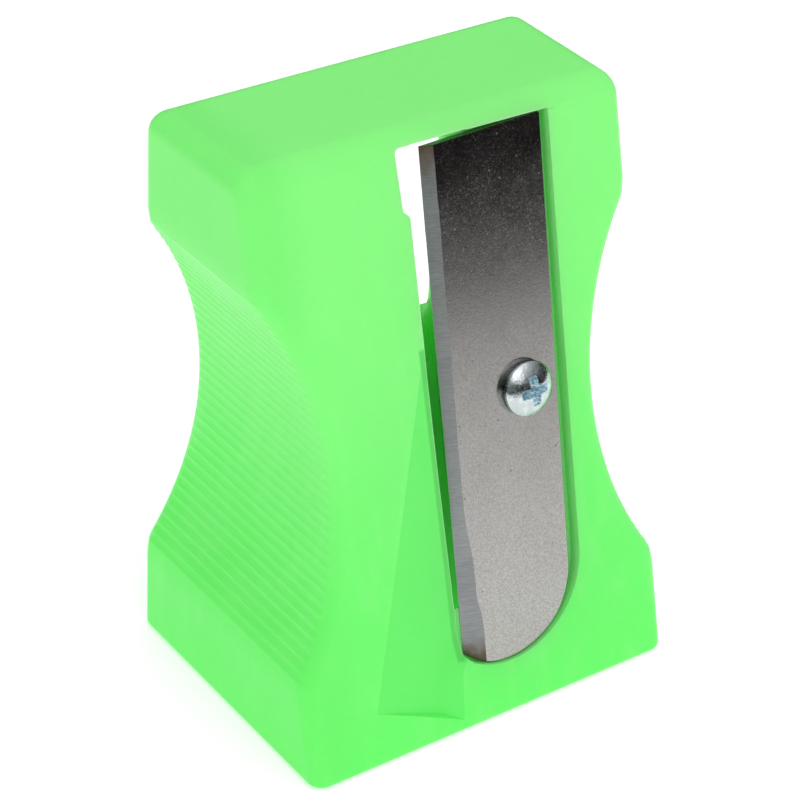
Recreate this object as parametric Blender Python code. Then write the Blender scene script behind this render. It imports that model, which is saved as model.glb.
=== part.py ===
"""One-hole wedge pencil sharpener: a moulded body, a ground steel blade and the blade's screw.

World frame, in metres: origin at the centre of the base, +Z along the pencil's axis towards the
thin end, -Y towards the sloping blade face, +X to the right of someone looking at that face.
"""

import math

import bmesh
import bpy
from mathutils import Matrix, Vector

MM = 0.001

# Body, outside
HEIGHT = 26.4 * MM
HALF_WIDTH = 9.65 * MM
BASE_DEPTH = 14.35 * MM
BACK_Y = 7.13 * MM
FACE_TILT = math.radians(14.9)
WAIST_HEIGHT = 13.0 * MM
WAIST_INSET = 2.63 * MM
WAIST_RADIUS = 14.3 * MM
WAIST_SPAN = 8.9 * MM
SHOULDER_RADIUS = 1.6 * MM
CORNER_RADIUS = 0.7 * MM
TOP_ROUNDING = 1.0 * MM
TOP_CORNER_RADIUS = 0.14 * MM
BASE_ROUNDING = 0.3 * MM

# Pencil bore: a round mouth, then a cone that touches the blade's underside
BORE_X = -0.95 * MM
BORE_RADIUS = 4.0 * MM
MOUTH_LENGTH = 5.5 * MM
MOUTH_CHAMFER = 0.35 * MM
TUBE_WALL = 1.05 * MM
TUBE_TOP = 18.2 * MM
CONE_TOP = 18.7 * MM

# Blade and its seat, in the sloping face: along X, up the slope and outwards
BLADE_LENGTH = 24.0 * MM
BLADE_WIDTH = 6.0 * MM
BLADE_THICKNESS = 0.4 * MM
BLADE_END_RADIUS = 3.53 * MM
BLADE_SUNK = 0.2 * MM
BLADE_SKEW = math.radians(-1.5)
BLADE_HOLE_RADIUS = 0.95 * MM
BACK_EDGE_TO_HOLE = 1.72 * MM
TOP_EDGE_TO_HOLE = 11.75 * MM
TOP_EDGE_SLOPE = 0.05
TOP_EDGE_MIDDLE = -1.3 * MM
EDGE_TAPER = 0.24 * MM
EDGE_TAPER_END = -7.65 * MM
BEVEL_WIDTH_TOP = 0.56 * MM
BEVEL_WIDTH_LOW = 0.94 * MM
BEVEL_WIDENS_BELOW = -4.75 * MM
BEVEL_WIDENING_LENGTH = 2.9 * MM
EDGE_LAND = 0.03 * MM
SEAT_GAP = 0.02 * MM
SEAT_SKEW = math.radians(-0.94)
SEAT_END_CENTRE = (1.18 * MM, 6.63 * MM)
SEAT_END_RADIUS = 4.12 * MM
SEAT_TOP = 26.65 * MM
SEAT_LEFT_X = -1.42 * MM
SEAT_CORNER_UP = 3.6 * MM
SEAT_CORNER_REACH = 0.52 * MM

# Screw
SCREW_X = 3.27 * MM
SCREW_UP = 14.73 * MM
HEAD_RADIUS = 1.25 * MM
HEAD_NECK_RADIUS = 1.17 * MM
HEAD_WALL = 0.32 * MM
HEAD_WALL_STRAIGHT = 0.24 * MM
HEAD_DOME = 0.5 * MM
THREAD_RADIUS = 0.87 * MM
THREAD_ROOT = 0.62 * MM
POINT_RADIUS = 0.22 * MM
POINT_ROOT = 0.28 * MM
THREAD_PITCH = 0.6 * MM
THREAD_HALF_FLANK = 0.34
SCREW_LENGTH = 5.8 * MM
SCREW_POINT = 0.6 * MM
CROSS_WIDTH = 0.46 * MM
CROSS_REACH = 0.8 * MM
CROSS_DEPTH = 0.6 * MM
CROSS_FLOOR_WIDTH = 0.24 * MM
CROSS_FLOOR_REACH = 0.3 * MM
CROSS_TURN = math.radians(5.0)
PILOT_RADIUS = 0.93 * MM
PILOT_DEPTH = 6.3 * MM
PILOT_END_RADIUS = 0.28 * MM
PILOT_END_LENGTH = 0.4 * MM
BOSS_RADIUS = 2.15 * MM
BOSS_LENGTH = 7.1 * MM

# Hollow behind the face, open at the back
HOLLOW_HALF_WIDTH = 5.6 * MM
HOLLOW_BOTTOM = 9.5 * MM
HOLLOW_TOP = 25.3 * MM
LEFT_PLATE = 1.4 * MM
SEAT_PLATE = 2.1 * MM
PLATE_STEP_X = -2.8 * MM

# Shaving slot beside the cutting edge, the window above it and the ramp below
SLOT_DEPTH = 3.0 * MM
SLOT_RIGHT_X = 0.3 * MM
SLOT_LEFT_OUTLINE = (
    (-1.45 * MM, 5.6 * MM),
    (-1.67 * MM, 12.0 * MM),
    (-1.79 * MM, 16.8 * MM),
    (-1.81 * MM, 23.8 * MM),
    (-2.13 * MM, 24.1 * MM),
    (-2.25 * MM, 26.75 * MM),
)
WINDOW_BOTTOM = 25.2 * MM
WINDOW_RIGHT_X = 1.6 * MM
RAMP_TILT = math.radians(5.0)
RAMP_TOP = (-1.87 * MM, 18.1 * MM)
RAMP_LOW = (-6.37 * MM, 2.0 * MM)
RAMP_FLOOR_OUTLINE = (
    (-7.2 * MM, 3.0 * MM),
    (-2.9 * MM, 1.25 * MM),
    (-2.7 * MM, 3.3 * MM),
    (-1.2 * MM, 4.9 * MM),
    (-1.2 * MM, 18.1 * MM),
    (-2.9 * MM, 18.1 * MM),
)
RAMP_RIM_OUTLINE = (
    (-7.2 * MM, 2.9 * MM),
    (-1.7 * MM, 0.6 * MM),
    (-1.5 * MM, 2.9 * MM),
    (-0.6 * MM, 4.5 * MM),
    (-0.6 * MM, 18.1 * MM),
    (-2.9 * MM, 18.1 * MM),
)
RAMP_RIM_RISE = 0.05 * MM

OUTSIDE = 2.0 * MM

# Smoothness
CORNER_STEPS = 3
ROUNDING_STEPS = 3
WAIST_STEPS = 14
BORE_SIDES = 48
BOSS_SIDES = 28
HOLE_SIDES = 24
END_STEPS = 18
SCREW_SIDES = 24
THREAD_STEPS_PER_TURN = 6
DOME_STEPS = 6
SMOOTH_ANGLE = math.radians(32.0)
BLADE_SMOOTH_ANGLE = math.radians(15.0)


def clear_scene():
    """Take away whatever the file held before."""
    for item in list(bpy.data.objects):
        bpy.data.objects.remove(item, do_unlink=True)


def plastic(name, colour, roughness):
    """Opaque stand-in colour for a moulded plastic."""
    material = bpy.data.materials.new(name)
    material.use_nodes = True
    shader = material.node_tree.nodes["Principled BSDF"]
    shader.inputs["Base Color"].default_value = (*colour, 1.0)
    shader.inputs["Roughness"].default_value = roughness
    return material


def metal(name, colour, roughness):
    """Bare or plated metal."""
    material = plastic(name, colour, roughness)
    shader = material.node_tree.nodes["Principled BSDF"]
    shader.inputs["Metallic"].default_value = 1.0
    return material


def new_object(name, bm, material=None, smooth_angle=SMOOTH_ANGLE):
    """Turn a bmesh into a named, smooth-shaded object with outward faces."""
    bmesh.ops.recalc_face_normals(bm, faces=bm.faces)
    mesh = bpy.data.meshes.new(name)
    bm.to_mesh(mesh)
    bm.free()
    mesh.shade_smooth()
    mesh.set_sharp_from_angle(angle=smooth_angle)
    if material:
        mesh.materials.append(material)
    item = bpy.data.objects.new(name, mesh)
    bpy.context.scene.collection.objects.link(item)
    return item


def loft(loops):
    """Closed solid through loops of equal length, capped at both ends."""
    bm = bmesh.new()
    rings = [[bm.verts.new(point) for point in loop] for loop in loops]
    count = len(rings[0])
    for low, high in zip(rings, rings[1:]):
        for i in range(count):
            j = (i + 1) % count
            bm.faces.new((low[i], low[j], high[j], high[i]))
    bm.faces.new(list(reversed(rings[0])))
    bm.faces.new(rings[-1])
    return bm


def turned(profile, sides):
    """Solid of revolution about Z through (radius, height) points, flat at both ends."""
    loops = []
    for radius, height in profile:
        angles = [2 * math.pi * i / sides for i in range(sides)]
        loops.append([(radius * math.cos(a), radius * math.sin(a), height) for a in angles])
    return loft(loops)


def as_cutter(item):
    """Mark an object as a construction shape."""
    item.hide_render = True
    item.display_type = "WIRE"
    return item


def subtract(item, cutter):
    """Cut one object out of another with a Boolean modifier."""
    modifier = item.modifiers.new("cut_" + cutter.name, "BOOLEAN")
    modifier.operation = "DIFFERENCE"
    modifier.object = cutter


def face_point(x, up, out):
    """World position of a point given along X, up the sloping face and outwards from it."""
    y = -BASE_DEPTH + BACK_Y + up * math.sin(FACE_TILT) - out * math.cos(FACE_TILT)
    z = up * math.cos(FACE_TILT) + out * math.sin(FACE_TILT)
    return Vector((x, y, z))


def face_prism(outline, low, high):
    """Solid with an (x, up) outline, reaching from low to high outwards from the face."""
    return loft([[face_point(x, up, out) for x, up in outline] for out in (low, high)])


def seat_to_face(u, v):
    """(x, up) on the face of a point in the blade's own frame, centred on its hole."""
    x = u * math.cos(BLADE_SKEW) - v * math.sin(BLADE_SKEW)
    up = u * math.sin(BLADE_SKEW) + v * math.cos(BLADE_SKEW)
    return SCREW_X + x, SCREW_UP + up


def face_matrix(x, up, out):
    """Placement whose local Z points outwards from the face and local Y up its slope."""
    across = Vector((1.0, 0.0, 0.0))
    slope = face_point(0.0, 1.0, 0.0) - face_point(0.0, 0.0, 0.0)
    outwards = face_point(0.0, 0.0, 1.0) - face_point(0.0, 0.0, 0.0)
    turn = Matrix((across, slope, outwards)).transposed()
    return Matrix.Translation(face_point(x, up, out)) @ turn.to_4x4()


def face_height(z):
    """Y of the sloping face at height z."""
    return -BASE_DEPTH + BACK_Y + z * math.tan(FACE_TILT)


def half_width(z):
    """Half the body's width at height z: flats above and below a concave waist."""
    from_waist = abs(z - WAIST_HEIGHT)
    waist_centre = HALF_WIDTH - WAIST_INSET + WAIST_RADIUS
    shoulder_centre = HALF_WIDTH - SHOULDER_RADIUS
    both = WAIST_RADIUS + SHOULDER_RADIUS
    reach = math.sqrt(both**2 - (waist_centre - shoulder_centre) ** 2)
    if from_waist < reach * WAIST_RADIUS / both:
        return waist_centre - math.sqrt(WAIST_RADIUS**2 - from_waist**2)
    if from_waist < reach:
        return shoulder_centre + math.sqrt(SHOULDER_RADIUS**2 - (reach - from_waist) ** 2)
    return HALF_WIDTH


def rounded_rectangle(x_half, y_low, y_high, radius, z):
    """Horizontal loop with rounded corners."""
    corners = (
        (x_half - radius, y_high - radius, 0.0),
        (-x_half + radius, y_high - radius, 0.5 * math.pi),
        (-x_half + radius, y_low + radius, math.pi),
        (x_half - radius, y_low + radius, 1.5 * math.pi),
    )
    loop = []
    for x, y, start in corners:
        for step in range(CORNER_STEPS + 1):
            angle = start + 0.5 * math.pi * step / CORNER_STEPS
            loop.append((x + radius * math.cos(angle), y + radius * math.sin(angle), z))
    return loop


def end_inset(z):
    """How far the body's outline draws in at height z, where an end is rounded over."""
    if z < BASE_ROUNDING:
        return BASE_ROUNDING - math.sqrt(BASE_ROUNDING**2 - (BASE_ROUNDING - z) ** 2)
    over = z - (HEIGHT - TOP_ROUNDING)
    if over > 0.0:
        return TOP_ROUNDING - math.sqrt(max(TOP_ROUNDING**2 - over**2, 0.0))
    return 0.0


def body_heights():
    """Heights of the horizontal sections, closer together where the outline curves."""
    quarter = [0.5 * math.pi * i / ROUNDING_STEPS for i in range(ROUNDING_STEPS + 1)]
    heights = [BASE_ROUNDING * (1.0 - math.cos(angle)) for angle in quarter]
    for step in range(WAIST_STEPS + 1):
        heights.append(WAIST_HEIGHT + WAIST_SPAN * (2.0 * step / WAIST_STEPS - 1.0))
    heights += [HEIGHT - TOP_ROUNDING * (1.0 - math.sin(angle)) for angle in quarter]
    return heights


def body_blank():
    """The body's outer shape before anything is cut into it."""
    loops = []
    for z in body_heights():
        inset = end_inset(z)
        narrowing = (CORNER_RADIUS - TOP_CORNER_RADIUS) / TOP_ROUNDING
        radius = CORNER_RADIUS - inset * narrowing
        low = face_height(z) + inset
        loops.append(rounded_rectangle(half_width(z) - inset, low, BACK_Y - inset, radius, z))
    return loft(loops)


def bore_axis_y():
    """Y of the bore's axis, where its cone just touches the blade's underside."""
    seat_at_mouth = face_height(MOUTH_LENGTH) + seat_depth() / math.cos(FACE_TILT)
    return seat_at_mouth + BORE_RADIUS


def seat_depth():
    """Depth of the blade's seat below the sloping face."""
    return BLADE_SUNK + BLADE_THICKNESS


def cone_radius(z):
    """The pencil cone's radius at height z."""
    return BORE_RADIUS - (z - MOUTH_LENGTH) * math.tan(FACE_TILT)


def bore_cutter():
    """The pencil's way in: chamfered mouth, short cylinder and long cone."""
    profile = [
        (BORE_RADIUS + MOUTH_CHAMFER + OUTSIDE, -OUTSIDE),
        (BORE_RADIUS, MOUTH_CHAMFER),
        (BORE_RADIUS, MOUTH_LENGTH),
        (cone_radius(CONE_TOP), CONE_TOP),
    ]
    item = as_cutter(new_object("bore_cutter", turned(profile, BORE_SIDES)))
    item.location = (BORE_X, bore_axis_y(), 0.0)
    return item


def tube_outer():
    """Outside of the tube around the pencil cone, kept solid inside the hollow."""
    profile = [
        (cone_radius(z) + TUBE_WALL, z)
        for z in (HOLLOW_BOTTOM - OUTSIDE, TUBE_TOP)
    ]
    item = as_cutter(new_object("tube_outer", turned(profile, BORE_SIDES)))
    item.location = (BORE_X, bore_axis_y(), 0.0)
    return item


def screw_boss():
    """Round boss behind the blade's seat that the screw bites into."""
    profile = [(BOSS_RADIUS, -BOSS_LENGTH), (BOSS_RADIUS, OUTSIDE)]
    item = as_cutter(new_object("screw_boss", turned(profile, BOSS_SIDES)))
    item.matrix_world = face_matrix(SCREW_X, SCREW_UP, -seat_depth())
    return item


def pilot_cutter():
    """The screw's blind hole."""
    profile = [
        (PILOT_END_RADIUS, -PILOT_DEPTH - PILOT_END_LENGTH),
        (PILOT_RADIUS, -PILOT_DEPTH),
        (PILOT_RADIUS, OUTSIDE),
    ]
    item = as_cutter(new_object("pilot_cutter", turned(profile, HOLE_SIDES)))
    item.matrix_world = face_matrix(SCREW_X, SCREW_UP, -seat_depth())
    return item


def hollow_cutter():
    """Hollow behind the face, open at the back, around the tube and the boss."""
    loops = []
    for z in (HOLLOW_BOTTOM, HOLLOW_TOP):
        left_y = face_height(z) + LEFT_PLATE / math.cos(FACE_TILT)
        seat_y = face_height(z) + SEAT_PLATE / math.cos(FACE_TILT)
        back = BACK_Y + OUTSIDE
        loops.append(
            [
                (-HOLLOW_HALF_WIDTH, back, z),
                (-HOLLOW_HALF_WIDTH, left_y, z),
                (PLATE_STEP_X, left_y, z),
                (PLATE_STEP_X, seat_y, z),
                (HOLLOW_HALF_WIDTH, seat_y, z),
                (HOLLOW_HALF_WIDTH, back, z),
            ]
        )
    item = as_cutter(new_object("hollow_cutter", loft(loops)))
    subtract(item, tube_outer())
    subtract(item, screw_boss())
    return item


def blade_end_arc(radius, start, stop):
    """Arc of the blade's round lower end, in the blade's frame."""
    centre_u = BACK_EDGE_TO_HOLE - BLADE_END_RADIUS
    centre_v = TOP_EDGE_TO_HOLE - BLADE_LENGTH + BLADE_END_RADIUS
    angles = [start + (stop - start) * i / END_STEPS for i in range(END_STEPS + 1)]
    return [(centre_u + radius * math.cos(a), centre_v + radius * math.sin(a)) for a in angles]


def seat_cutter():
    """Flat-bottomed seat for the blade, open to the slot on its left."""
    centre_x, centre_up = SEAT_END_CENTRE
    join_x = SEAT_LEFT_X + SEAT_CORNER_REACH
    start = 2.0 * math.pi - math.acos((join_x - centre_x) / SEAT_END_RADIUS)
    stop = 2.0 * math.pi + SEAT_SKEW
    outline = [(SEAT_LEFT_X, SEAT_CORNER_UP)]
    for step in range(END_STEPS + 1):
        angle = start + (stop - start) * step / END_STEPS
        x = centre_x + SEAT_END_RADIUS * math.cos(angle)
        outline.append((x, centre_up + SEAT_END_RADIUS * math.sin(angle)))
    right_x, right_up = outline[-1]
    top_x = right_x - (SEAT_TOP - right_up) * math.tan(SEAT_SKEW)
    left_up = SEAT_TOP + (SEAT_LEFT_X - top_x) * math.tan(SEAT_SKEW)
    outline += [(top_x, SEAT_TOP), (SEAT_LEFT_X, left_up)]
    floor = -seat_depth() - SEAT_GAP
    return as_cutter(new_object("seat_cutter", face_prism(outline, floor, OUTSIDE)))


def slot_cutter():
    """Slot along the cutting edge, through which the shavings leave."""
    top = SLOT_LEFT_OUTLINE[-1][1]
    outline = list(SLOT_LEFT_OUTLINE)
    outline += [(WINDOW_RIGHT_X, top), (WINDOW_RIGHT_X, WINDOW_BOTTOM)]
    outline += [(SLOT_RIGHT_X, WINDOW_BOTTOM), (SLOT_RIGHT_X, SLOT_LEFT_OUTLINE[0][1])]
    return as_cutter(new_object("slot_cutter", face_prism(outline, -SLOT_DEPTH, OUTSIDE)))


def ramp_cutter():
    """Shallow wedge that leads the shavings away, deepest beside the slot."""
    top_x, top_up = RAMP_TOP
    low_x, low_up = RAMP_LOW
    lean = (top_x - low_x) / (top_up - low_up)
    fall = math.tan(RAMP_TILT) * math.cos(math.atan(lean))

    def floor_depth(x, up):
        edge_x = low_x + (up - low_up) * lean
        return (x - edge_x) * fall

    floor, rim, mouth = [], [], []
    for (x, up), (rim_x, rim_up) in zip(RAMP_FLOOR_OUTLINE, RAMP_RIM_OUTLINE):
        depth = floor_depth(x, up)
        floor.append(face_point(x, up, -depth))
        rim.append(face_point(rim_x, rim_up, max(0.0, RAMP_RIM_RISE - depth)))
        mouth.append(face_point(rim_x, rim_up, OUTSIDE))
    return as_cutter(new_object("ramp_cutter", loft([floor, rim, mouth])))


def make_body(material):
    """The moulded body: one piece with its bore, slot, seat, ramp and hollow."""
    body = new_object("sharpener_body", body_blank(), material)
    for cutter in (
        hollow_cutter(),
        bore_cutter(),
        seat_cutter(),
        slot_cutter(),
        ramp_cutter(),
        pilot_cutter(),
    ):
        subtract(body, cutter)
    return body


def bevel_width(v):
    """Width of the ground bevel at height v in the blade's frame."""
    if v >= BEVEL_WIDENS_BELOW:
        return BEVEL_WIDTH_TOP
    share = min((BEVEL_WIDENS_BELOW - v) / BEVEL_WIDENING_LENGTH, 1.0)
    return BEVEL_WIDTH_TOP + share * (BEVEL_WIDTH_LOW - BEVEL_WIDTH_TOP)


def top_edge(u):
    """Height of the blade's top end, which is cut slightly off square."""
    return TOP_EDGE_TO_HOLE + (u - TOP_EDGE_MIDDLE) * TOP_EDGE_SLOPE


def edge_taper(v):
    """How far the cutting edge is ground in at height v: most near the round end."""
    fall = (TOP_EDGE_TO_HOLE - v) / (TOP_EDGE_TO_HOLE - EDGE_TAPER_END)
    return EDGE_TAPER * max(0.0, min(fall, 1.0))


def blade_blank():
    """Flat blade with a square top end, a round lower end and a bevel along its left edge."""
    edge_u = BACK_EDGE_TO_HOLE - BLADE_WIDTH
    centre_u = BACK_EDGE_TO_HOLE - BLADE_END_RADIUS
    line_angle = math.pi + math.acos((centre_u - edge_u - BEVEL_WIDTH_LOW) / BLADE_END_RADIUS)
    edge_low = edge_u + EDGE_TAPER
    edge_angle = math.pi + math.acos((centre_u - edge_low) / BLADE_END_RADIUS)
    corner = blade_end_arc(BLADE_END_RADIUS, edge_angle, line_angle)
    low_end = blade_end_arc(BLADE_END_RADIUS, line_angle, 2.0 * math.pi)
    stations = (
        top_edge(edge_u),
        BEVEL_WIDENS_BELOW,
        BEVEL_WIDENS_BELOW - BEVEL_WIDENING_LENGTH,
    )
    right_top = (BACK_EDGE_TO_HOLE, top_edge(BACK_EDGE_TO_HOLE))

    bm = bmesh.new()

    def column(u, v, height):
        return bm.verts.new((u, v, 0.0)), bm.verts.new((u, v, height))

    edge = [column(edge_u + edge_taper(v), v, EDGE_LAND) for v in stations]
    rise = (BLADE_THICKNESS - EDGE_LAND) / (BEVEL_WIDTH_LOW - EDGE_TAPER)
    ground = [column(u, v, EDGE_LAND + (u - edge_low) * rise) for u, v in corner[:-1]]
    full = [column(u, v, BLADE_THICKNESS) for u, v in low_end + [right_top]]
    line_top_u = edge_u + BEVEL_WIDTH_TOP
    line_top = column(line_top_u, top_edge(line_top_u), BLADE_THICKNESS)
    line = [
        bm.verts.new((edge_u + bevel_width(v), v, BLADE_THICKNESS)) for v in stations[1:]
    ]

    rim = edge + ground + full + [line_top]
    bm.faces.new([under for under, _ in reversed(rim)])
    for (under_a, top_a), (under_b, top_b) in zip(rim, rim[1:] + rim[:1]):
        bm.faces.new((under_a, under_b, top_b, top_a))
    bm.faces.new([top for _, top in full] + [line_top[1]] + line)
    bm.faces.new((edge[0][1], edge[1][1], line[0], line_top[1]))
    bm.faces.new((edge[1][1], edge[2][1], line[1], line[0]))
    lower_bevel = [edge[2][1]] + [top for _, top in ground] + [full[0][1], line[1]]
    bm.faces.new(lower_bevel)
    return bm


def make_blade(material):
    """The steel blade, its origin in its hole on the screw's axis."""
    blade = new_object("blade", blade_blank(), material, BLADE_SMOOTH_ANGLE)
    hole = turned([(BLADE_HOLE_RADIUS, -OUTSIDE), (BLADE_HOLE_RADIUS, OUTSIDE)], HOLE_SIDES)
    hole_cutter = as_cutter(new_object("blade_hole_cutter", hole))
    hole_cutter.parent = blade
    subtract(blade, hole_cutter)
    blade.rotation_euler = (0.0, 0.0, BLADE_SKEW)
    return blade


def thread_ridge(z, angle):
    """Share of the full thread height at height z and an angle around the screw."""
    phase = (z / THREAD_PITCH - angle / (2.0 * math.pi)) % 1.0
    return max(0.0, 1.0 - abs(phase - 0.5) / THREAD_HALF_FLANK)


def screw_profile():
    """(radius, height, thread share) from the point up to the crown of the head."""
    tip = BLADE_THICKNESS - SCREW_LENGTH
    rows = [(POINT_RADIUS, tip, 0.0)]
    count = int((SCREW_LENGTH - BLADE_THICKNESS) / THREAD_PITCH * THREAD_STEPS_PER_TURN)
    for step in range(1, count):
        z = tip + (SCREW_LENGTH - BLADE_THICKNESS) * step / count
        taper = min((z - tip) / SCREW_POINT, 1.0)
        run_out = min(-z / THREAD_PITCH, 1.0)
        root = POINT_ROOT + (THREAD_ROOT - POINT_ROOT) * taper
        rows.append((root, z, taper * run_out))
    seat = BLADE_THICKNESS + SEAT_GAP
    rows.append((THREAD_ROOT, seat, 0.0))
    rows.append((HEAD_NECK_RADIUS, seat, 0.0))
    rows.append((HEAD_RADIUS, seat + HEAD_WALL_STRAIGHT, 0.0))
    sphere = (HEAD_RADIUS**2 + HEAD_DOME**2) / (2.0 * HEAD_DOME)
    half_angle = math.asin(HEAD_RADIUS / sphere)
    for step in range(DOME_STEPS):
        angle = half_angle * (1.0 - step / DOME_STEPS)
        rise = sphere * (math.cos(angle) - math.cos(half_angle))
        rows.append((sphere * math.sin(angle), seat + HEAD_WALL + rise, 0.0))
    return rows


def screw_blank():
    """Screw with a helical thread under a tall pan head."""
    loops = []
    for radius, z, share in screw_profile():
        loop = []
        for side in range(SCREW_SIDES):
            angle = 2.0 * math.pi * side / SCREW_SIDES
            ridge = share * thread_ridge(z, angle) * (THREAD_RADIUS - THREAD_ROOT)
            reach = radius + ridge
            loop.append((reach * math.cos(angle), reach * math.sin(angle), z))
        loops.append(loop)
    return loft(loops)


def cross_cutter(name, turn):
    """One tapering bar of the cross recess in the screw's head."""
    crown = BLADE_THICKNESS + SEAT_GAP + HEAD_WALL + HEAD_DOME
    above_reach = 2.0 * CROSS_REACH - CROSS_FLOOR_REACH
    above_width = 2.0 * CROSS_WIDTH - CROSS_FLOOR_WIDTH
    loops = []
    for z, reach, width in (
        (crown - CROSS_DEPTH, CROSS_FLOOR_REACH, CROSS_FLOOR_WIDTH),
        (crown + CROSS_DEPTH, above_reach, above_width),
    ):
        half = 0.5 * width
        loops.append([(-reach, -half, z), (reach, -half, z), (reach, half, z), (-reach, half, z)])
    item = as_cutter(new_object(name, loft(loops)))
    item.rotation_euler = (0.0, 0.0, turn)
    return item


def make_screw(material):
    """The blade's screw, its origin on its own axis."""
    screw = new_object("blade_screw", screw_blank(), material)
    turns = (CROSS_TURN, CROSS_TURN + 0.5 * math.pi)
    for name, turn in zip(("cross_cutter_a", "cross_cutter_b"), turns):
        bar = cross_cutter(name, turn)
        bar.parent = screw
        subtract(screw, bar)
    return screw


def main():
    clear_scene()
    green = plastic("body_green", (0.16, 0.86, 0.17), 0.3)
    steel = metal("blade_steel", (0.5, 0.49, 0.48), 0.35)
    zinc = metal("screw_zinc", (0.74, 0.78, 0.8), 0.2)

    make_body(green)
    screw_axis = bpy.data.objects.new("screw_axis", None)
    bpy.context.scene.collection.objects.link(screw_axis)
    screw_axis.matrix_world = face_matrix(SCREW_X, SCREW_UP, -seat_depth())
    for item in (make_blade(steel), make_screw(zinc)):
        item.parent = screw_axis
    bpy.context.view_layer.update()


main()
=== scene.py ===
"""Pencil sharpener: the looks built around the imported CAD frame.

Everything is in metres in the CAD frame: origin at the centre of the base, +Z along the pencil's
axis, -Y towards the sloping blade face, +X to the right of someone looking at that face.
"""

import math

import bmesh
import bpy
import numpy as np
from mathutils import Matrix, Vector


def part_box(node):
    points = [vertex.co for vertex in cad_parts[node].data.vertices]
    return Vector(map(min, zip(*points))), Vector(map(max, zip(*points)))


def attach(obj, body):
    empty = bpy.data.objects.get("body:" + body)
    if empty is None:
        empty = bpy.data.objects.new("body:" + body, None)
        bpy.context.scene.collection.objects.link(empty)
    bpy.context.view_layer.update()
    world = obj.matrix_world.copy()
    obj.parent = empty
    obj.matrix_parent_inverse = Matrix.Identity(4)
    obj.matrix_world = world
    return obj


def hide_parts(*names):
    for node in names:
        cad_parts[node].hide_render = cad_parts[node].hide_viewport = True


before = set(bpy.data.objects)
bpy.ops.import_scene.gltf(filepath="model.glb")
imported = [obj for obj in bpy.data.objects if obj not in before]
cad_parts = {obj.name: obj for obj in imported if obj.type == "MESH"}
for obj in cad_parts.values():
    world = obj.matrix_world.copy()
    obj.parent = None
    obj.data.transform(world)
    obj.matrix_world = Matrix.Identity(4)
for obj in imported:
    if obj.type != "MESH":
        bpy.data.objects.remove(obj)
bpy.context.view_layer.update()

MM = 0.001


def in_mm(*points):
    """Points written in millimetres, as metres."""
    return tuple(tuple(value * MM for value in point) for point in points)


BODY_LOW, BODY_HIGH = (Vector(corner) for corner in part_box("sharpener_body"))

# Body, outside
HEIGHT = BODY_HIGH.z
HALF_WIDTH = BODY_HIGH.x
MIDDLE = Vector((0.0, 0.0, 0.5 * HEIGHT))
BACK_Y = BODY_HIGH.y
FACE_TILT = math.radians(14.9)
FACE_FOOT_Y = -7.22 * MM
WAIST_HEIGHT = 13.0 * MM
WAIST_INSET = 2.63 * MM
WAIST_RADIUS = 14.3 * MM
SHOULDER_RADIUS = 1.6 * MM
CORNER_RADIUS = 0.7 * MM
TOP_ROUNDING = 1.0 * MM
TOP_CORNER_RADIUS = 0.14 * MM
BASE_ROUNDING = 0.3 * MM

# Grip ribs on the waisted sides
RIB_PITCH = 0.5 * MM
RIB_DEPTH = 0.05 * MM
RIB_COUNT = 35
RIB_SAMPLES = 6
RIB_BLUNTNESS = 2.2
RIB_FADE_START = 0.8
RIB_FADE_RANGE = 0.2

# Pencil bore and the tube around its cone
BORE_X = -0.95 * MM
BORE_RADIUS = 4.0 * MM
MOUTH_LENGTH = 5.5 * MM
MOUTH_CHAMFER = 0.35 * MM
TUBE_WALL = 1.05 * MM
TUBE_TOP = 18.2 * MM
CONE_TOP = 18.7 * MM

# Blade and its seat
BLADE_LENGTH = 24.0 * MM
BLADE_WIDTH = 6.0 * MM
BLADE_THICKNESS = 0.4 * MM
BLADE_END_RADIUS = 3.53 * MM
BLADE_SUNK = 0.2 * MM
BLADE_SKEW = math.radians(-1.5)
BLADE_HOLE_RADIUS = 0.95 * MM
BACK_EDGE_TO_HOLE = 1.72 * MM
CUTTING_EDGE = BACK_EDGE_TO_HOLE - BLADE_WIDTH
TOP_EDGE_TO_HOLE = 11.75 * MM
TOP_EDGE_SLOPE = 0.05
TOP_EDGE_MIDDLE = -1.3 * MM
EDGE_TAPER = 0.24 * MM
EDGE_TAPER_END = -7.65 * MM
BLADE_CORNER = 0.12 * MM
BLADE_EDGE_ROUND = 0.03 * MM
EDGE_BOW = 0.07 * MM
EDGE_BOW_STEPS = 24
BEVEL_WIDTH = 0.578 * MM
BEVEL_WIDENING = 0.007
BEVEL_STEP = 0.3 * MM
BEVEL_STEP_MIDDLE = -6.25 * MM
BEVEL_STEP_SOFTNESS = 0.4 * MM
BEVEL_WOBBLE = 0.025 * MM
BEVEL_END_STEP = 0.24 * MM
BEVEL_END_MIDDLE = -9.4 * MM
BEVEL_END_SOFTNESS = 0.2 * MM
EXPONENT_LIMIT = 50.0
BEVEL_LINE_RISE = 0.0005 * MM
BEVEL_LEAN_LEFT = 0.2
BEVEL_LEAN_OUT = 0.3
BEVEL_FACE_AREA = 1e-10
EDGE_LAND = 0.015 * MM
LAND_WOBBLE = 0.3
LAND_WOBBLE_RATE = 1.7
WOBBLE_WAVES = ((1.0, 0.9, 0.4), (0.6, 2.3, 2.0), (0.35, 5.9, 0.0))
WOBBLE_HEIGHT = 1.95
SEAT_GAP = 0.02 * MM
SEAT_DEPTH = BLADE_SUNK + BLADE_THICKNESS
SEAT_SKEW = math.radians(-0.94)
SEAT_END_CENTRE = (1.18 * MM, 6.63 * MM)
SEAT_END_RADIUS = 4.12 * MM
SEAT_TOP = 26.65 * MM
SEAT_LEFT_X = -1.42 * MM
SEAT_CORNER_UP = 3.6 * MM
SEAT_CORNER_REACH = 0.52 * MM

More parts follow.
